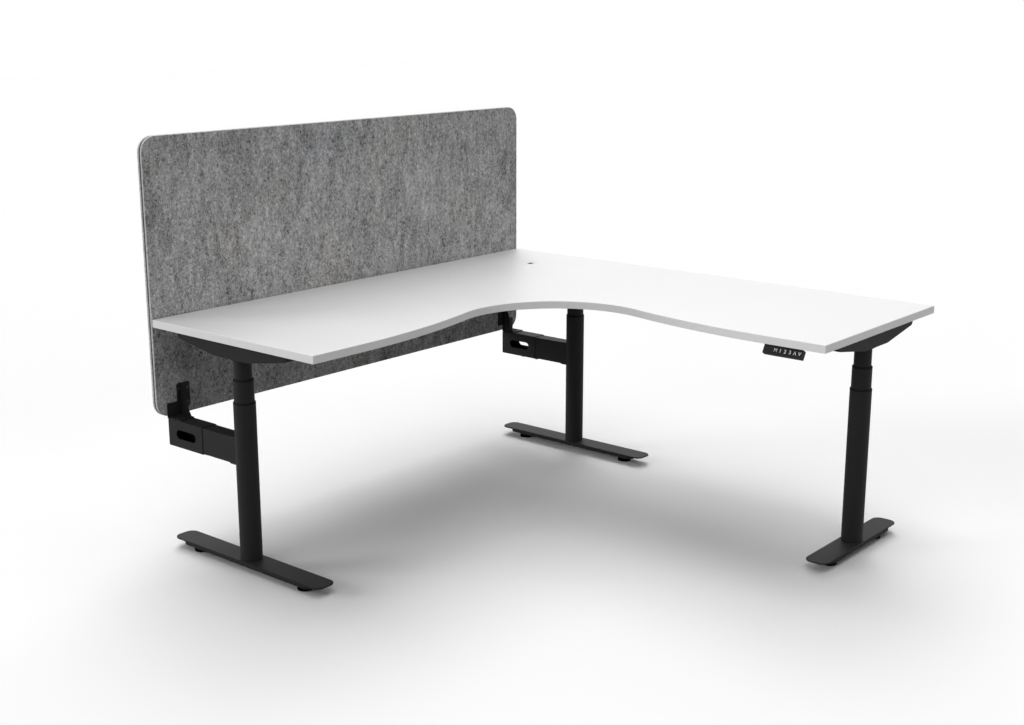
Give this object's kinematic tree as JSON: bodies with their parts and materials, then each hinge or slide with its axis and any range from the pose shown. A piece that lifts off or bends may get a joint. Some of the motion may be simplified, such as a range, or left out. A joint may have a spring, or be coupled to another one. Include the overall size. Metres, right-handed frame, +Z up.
{
  "type": "corner workstation",
  "caption": "L-shaped height-adjustable desk with a white worktop on telescopic black columns and feet, a grey felt screen behind one wing, a handset and a cable grommet.",
  "frame": {"origin": "on the floor, under the middle of the whole's bounding box", "axes": "+X along the back wing towards the corner, +Y towards the screen, +Z up"},
  "size_m": [1.8, 1.825, 1.343],
  "materials": {
    "white_melamine": "white melamine, fine satin texture",
    "white_edge": "white edge band, satin",
    "black_steel": "matt black powder coat, fine grain",
    "white_plastic": "white moulded plastic, satin",
    "black_plastic": "black moulded plastic, fine spark texture",
    "guide_plastic": "black glide plastic, smooth",
    "key_rubber": "soft matt keys with light grey legends",
    "grey_felt": "mottled grey pressed felt",
    "screen_core": "dark grey stiff core board",
    "spindle_steel": "rolled thread, lightly greased",
    "post_steel": "drawn steel tube",
    "motor_case": "dark grey motor case",
    "circuit_board": "green glass-fibre board",
    "dark_screws": "black zinc"
  },
  "bodies": {
    "base": {"foot_left": "black_steel", "foot_corner": "black_steel", "foot_right": "black_steel", "foot_bolts": "dark_screws", "outer_tube_left": "black_steel", "outer_tube_corner": "black_steel", "outer_tube_right": "black_steel", "outer_collars": "black_plastic", "spindle_posts": "post_steel", "arm_tubes": "black_steel"},
    "desktop": {"worktop": "white_melamine", "edge_band": "white_edge", "grommet_liner": "white_plastic", "top_bracket_left": "black_steel", "top_bracket_corner": "black_steel", "top_bracket_right": "black_steel", "back_rail": "black_steel", "side_rail": "black_steel", "control_box": "black_plastic", "circuit_boards": "circuit_board", "handset_case": "black_plastic", "inner_tube_left": "black_steel", "inner_tube_corner": "black_steel", "inner_tube_right": "black_steel", "inner_bushes": "guide_plastic", "drive_motors": "motor_case", "frame_screws": "dark_screws"},
    "screen": {"front_felt": "grey_felt", "screen_core": "screen_core", "back_felt": "grey_felt", "screen_bracket_left": "black_steel", "screen_bracket_corner": "black_steel", "sleeve_left": "black_steel", "sleeve_corner": "black_steel", "screen_screws": "dark_screws"},
    "grommet_cap": {"grommet_cap": "white_plastic"},
    "middle_left": {"middle_tube_left": "black_steel", "middle_guides_left": "guide_plastic"},
    "upper_spindle_left": {"upper_spindle_left": "spindle_steel"},
    "hollow_spindle_left": {"hollow_spindle_left": "spindle_steel"},
    "middle_corner": {"middle_tube_corner": "black_steel", "middle_guides_corner": "guide_plastic"},
    "upper_spindle_corner": {"upper_spindle_corner": "spindle_steel"},
    "hollow_spindle_corner": {"hollow_spindle_corner": "spindle_steel"},
    "middle_right": {"middle_tube_right": "black_steel", "middle_guides_right": "guide_plastic"},
    "upper_spindle_right": {"upper_spindle_right": "spindle_steel"},
    "hollow_spindle_right": {"hollow_spindle_right": "spindle_steel"},
    "button_memory": {"button_memory": "key_rubber"},
    "button_one": {"button_one": "key_rubber"},
    "button_two": {"button_two": "key_rubber"},
    "button_three": {"button_three": "key_rubber"},
    "button_up": {"button_up": "key_rubber"},
    "button_down": {"button_down": "key_rubber"},
    "leveller_left_back": {"leveller_left_back": "black_plastic"},
    "leveller_left_front": {"leveller_left_front": "black_plastic"},
    "leveller_corner_back": {"leveller_corner_back": "black_plastic"},
    "leveller_corner_front": {"leveller_corner_front": "black_plastic"},
    "leveller_right_inner": {"leveller_right_inner": "black_plastic"},
    "leveller_right_outer": {"leveller_right_outer": "black_plastic"}
  },
  "joints": [
    {"name": "height", "type": "slide", "parent": "base", "child": "desktop", "axis": [0, 0, 1], "range_m": [-0.12, 0.5]},
    {"name": "screen_reach", "type": "slide", "parent": "base", "child": "screen", "axis": [0, 1, 0], "range_m": [0, 0.06]},
    {"name": "grommet_cap_turn", "type": "hinge", "parent": "desktop", "child": "grommet_cap", "pos_m": [0.664, 0.6515, 0.77], "axis": [0, 0, 1], "continuous": true},
    {"name": "middle_left_slide", "type": "slide", "parent": "base", "child": "middle_left", "axis": [0, 0, 1], "range_m": [-0.0602, 0.2502]},
    {"name": "upper_spindle_left_turn", "type": "hinge", "parent": "desktop", "child": "upper_spindle_left", "pos_m": [-0.83, 0.5375, 0.5], "axis": [0, 0, 1], "range_deg": [-2165, 9005]},
    {"name": "hollow_spindle_left_turn", "type": "hinge", "parent": "middle_left", "child": "hollow_spindle_left", "pos_m": [-0.83, 0.5375, 0.3], "axis": [0, 0, 1], "range_deg": [-2165, 9005]},
    {"name": "middle_corner_slide", "type": "slide", "parent": "base", "child": "middle_corner", "axis": [0, 0, 1], "range_m": [-0.0602, 0.2502]},
    {"name": "upper_spindle_corner_turn", "type": "hinge", "parent": "desktop", "child": "upper_spindle_corner", "pos_m": [0.84, 0.5375, 0.5], "axis": [0, 0, 1], "range_deg": [-2165, 9005]},
    {"name": "hollow_spindle_corner_turn", "type": "hinge", "parent": "middle_corner", "child": "hollow_spindle_corner", "pos_m": [0.84, 0.5375, 0.3], "axis": [0, 0, 1], "range_deg": [-2165, 9005]},
    {"name": "middle_right_slide", "type": "slide", "parent": "base", "child": "middle_right", "axis": [0, 0, 1], "range_m": [-0.0602, 0.2502]},
    {"name": "upper_spindle_right_turn", "type": "hinge", "parent": "desktop", "child": "upper_spindle_right", "pos_m": [0.54, -0.8425, 0.5], "axis": [0, 0, 1], "range_deg": [-2165, 9005]},
    {"name": "hollow_spindle_right_turn", "type": "hinge", "parent": "middle_right", "child": "hollow_spindle_right", "pos_m": [0.54, -0.8425, 0.3], "axis": [0, 0, 1], "range_deg": [-2165, 9005]},
    {"name": "button_memory_press", "type": "slide", "parent": "desktop", "child": "button_memory", "axis": [0.8746, 0, -0.4848], "range_m": [0, 0.0008], "stiffness_N_per_m": 600, "springref_m": -0.0005},
    {"name": "button_one_press", "type": "slide", "parent": "desktop", "child": "button_one", "axis": [0.8746, 0, -0.4848], "range_m": [0, 0.0008], "stiffness_N_per_m": 600, "springref_m": -0.0005},
    {"name": "button_two_press", "type": "slide", "parent": "desktop", "child": "button_two", "axis": [0.8746, 0, -0.4848], "range_m": [0, 0.0008], "stiffness_N_per_m": 600, "springref_m": -0.0005},
    {"name": "button_three_press", "type": "slide", "parent": "desktop", "child": "button_three", "axis": [0.8746, 0, -0.4848], "range_m": [0, 0.0008], "stiffness_N_per_m": 600, "springref_m": -0.0005},
    {"name": "button_up_press", "type": "slide", "parent": "desktop", "child": "button_up", "axis": [0.8746, 0, -0.4848], "range_m": [0, 0.0008], "stiffness_N_per_m": 600, "springref_m": -0.0005},
    {"name": "button_down_press", "type": "slide", "parent": "desktop", "child": "button_down", "axis": [0.8746, 0, -0.4848], "range_m": [0, 0.0008], "stiffness_N_per_m": 600, "springref_m": -0.0005},
    {"name": "leveller_left_back_screw", "type": "slide", "parent": "base", "child": "leveller_left_back", "axis": [0, 0, 1], "range_m": [-0.004, 0.005]},
    {"name": "leveller_left_front_screw", "type": "slide", "parent": "base", "child": "leveller_left_front", "axis": [0, 0, 1], "range_m": [-0.004, 0.005]},
    {"name": "leveller_corner_back_screw", "type": "slide", "parent": "base", "child": "leveller_corner_back", "axis": [0, 0, 1], "range_m": [-0.004, 0.005]},
    {"name": "leveller_corner_front_screw", "type": "slide", "parent": "base", "child": "leveller_corner_front", "axis": [0, 0, 1], "range_m": [-0.004, 0.005]},
    {"name": "leveller_right_inner_screw", "type": "slide", "parent": "base", "child": "leveller_right_inner", "axis": [0, 0, 1], "range_m": [-0.004, 0.005]},
    {"name": "leveller_right_outer_screw", "type": "slide", "parent": "base", "child": "leveller_right_outer", "axis": [0, 0, 1], "range_m": [-0.004, 0.005]}
  ],
  "couplings": [
    {"joint": "middle_left_slide", "follows": "height", "ratio": 0.5},
    {"joint": "upper_spindle_left_turn", "follows": "height", "rad_per_m": 314.16},
    {"joint": "hollow_spindle_left_turn", "follows": "height", "rad_per_m": 314.16},
    {"joint": "middle_corner_slide", "follows": "height", "ratio": 0.5},
    {"joint": "upper_spindle_corner_turn", "follows": "height", "rad_per_m": 314.16},
    {"joint": "hollow_spindle_corner_turn", "follows": "height", "rad_per_m": 314.16},
    {"joint": "middle_right_slide", "follows": "height", "ratio": 0.5},
    {"joint": "upper_spindle_right_turn", "follows": "height", "rad_per_m": 314.16},
    {"joint": "hollow_spindle_right_turn", "follows": "height", "rad_per_m": 314.16}
  ]
}
